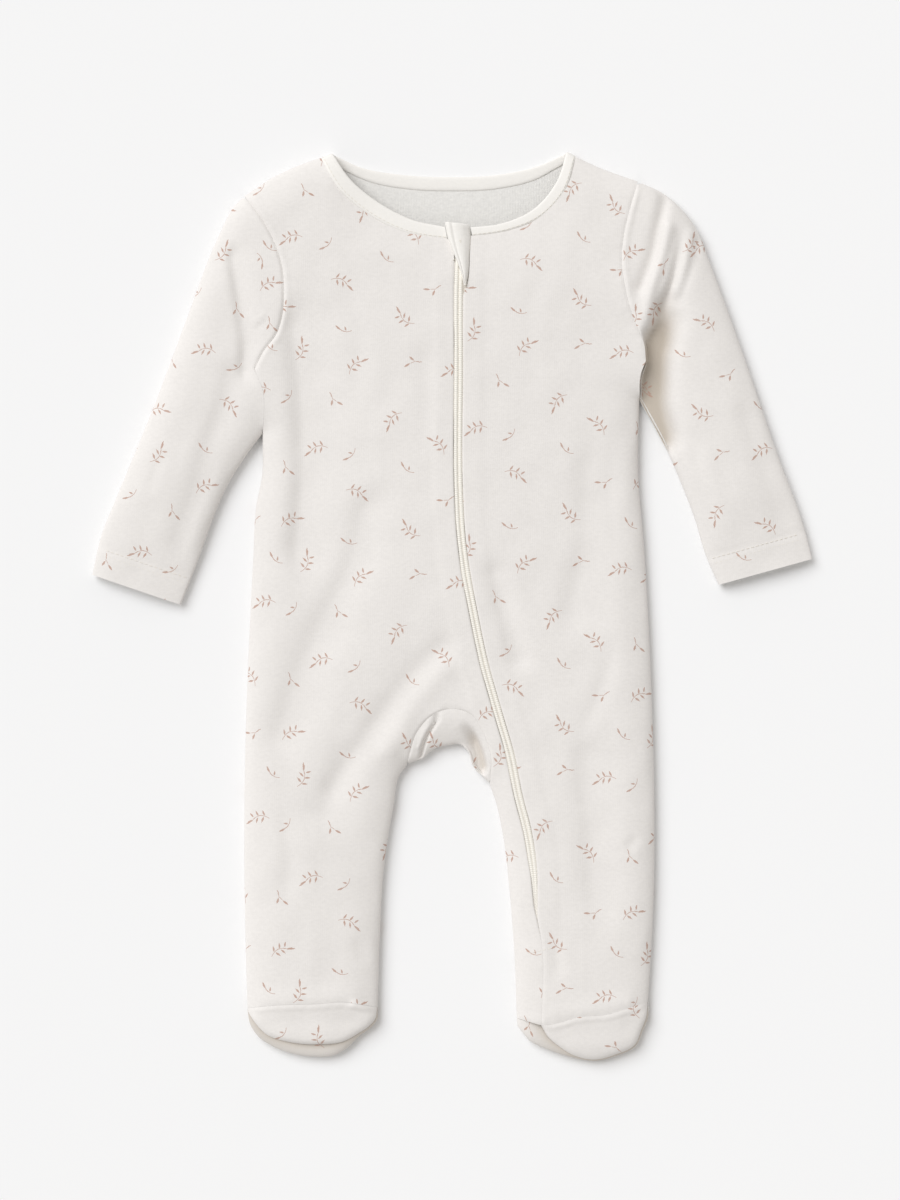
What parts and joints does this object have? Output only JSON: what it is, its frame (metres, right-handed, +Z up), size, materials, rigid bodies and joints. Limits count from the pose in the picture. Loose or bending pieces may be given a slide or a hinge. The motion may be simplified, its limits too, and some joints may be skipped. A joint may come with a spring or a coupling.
{
  "type": "footed baby sleepsuit",
  "caption": "Footed baby sleepsuit in leaf-print brushed cotton, with long sleeves, a bound neck and a front zip that curves into one leg, laid flat.",
  "frame": {"origin": "on the surface that the garment lies on, under the middle of its outline", "axes": "+X towards the wearer's left sleeve (the viewer's right), +Y from the feet towards the neck, +Z up, out of the garment's front"},
  "size_m": [0.431, 0.5437, 0.0171],
  "materials": {
    "printed_cloth": "matt brushed cotton interlock, ivory with a small toss print of dusty brown leaf sprigs",
    "plain_rib": "matt plain ivory cotton rib",
    "zip_tape": "woven polyester tape with a fine coil edge, ivory",
    "moulded_plastic": "moulded acetal, ivory, satin"
  },
  "bodies": {
    "root": {"front_right": "printed_cloth", "front_left": "printed_cloth", "back": "printed_cloth", "sleeve_right": "printed_cloth", "sleeve_left": "printed_cloth", "gusset": "printed_cloth", "foot_upper_right": "printed_cloth", "foot_upper_left": "printed_cloth", "sole_right": "printed_cloth", "sole_left": "printed_cloth", "neck_binding": "plain_rib", "zip_tape_right": "zip_tape", "zip_tape_left": "zip_tape", "zip_guard": "plain_rib", "zip_slider": "moulded_plastic", "zip_pull": "moulded_plastic"}
  },
  "joints": []
}
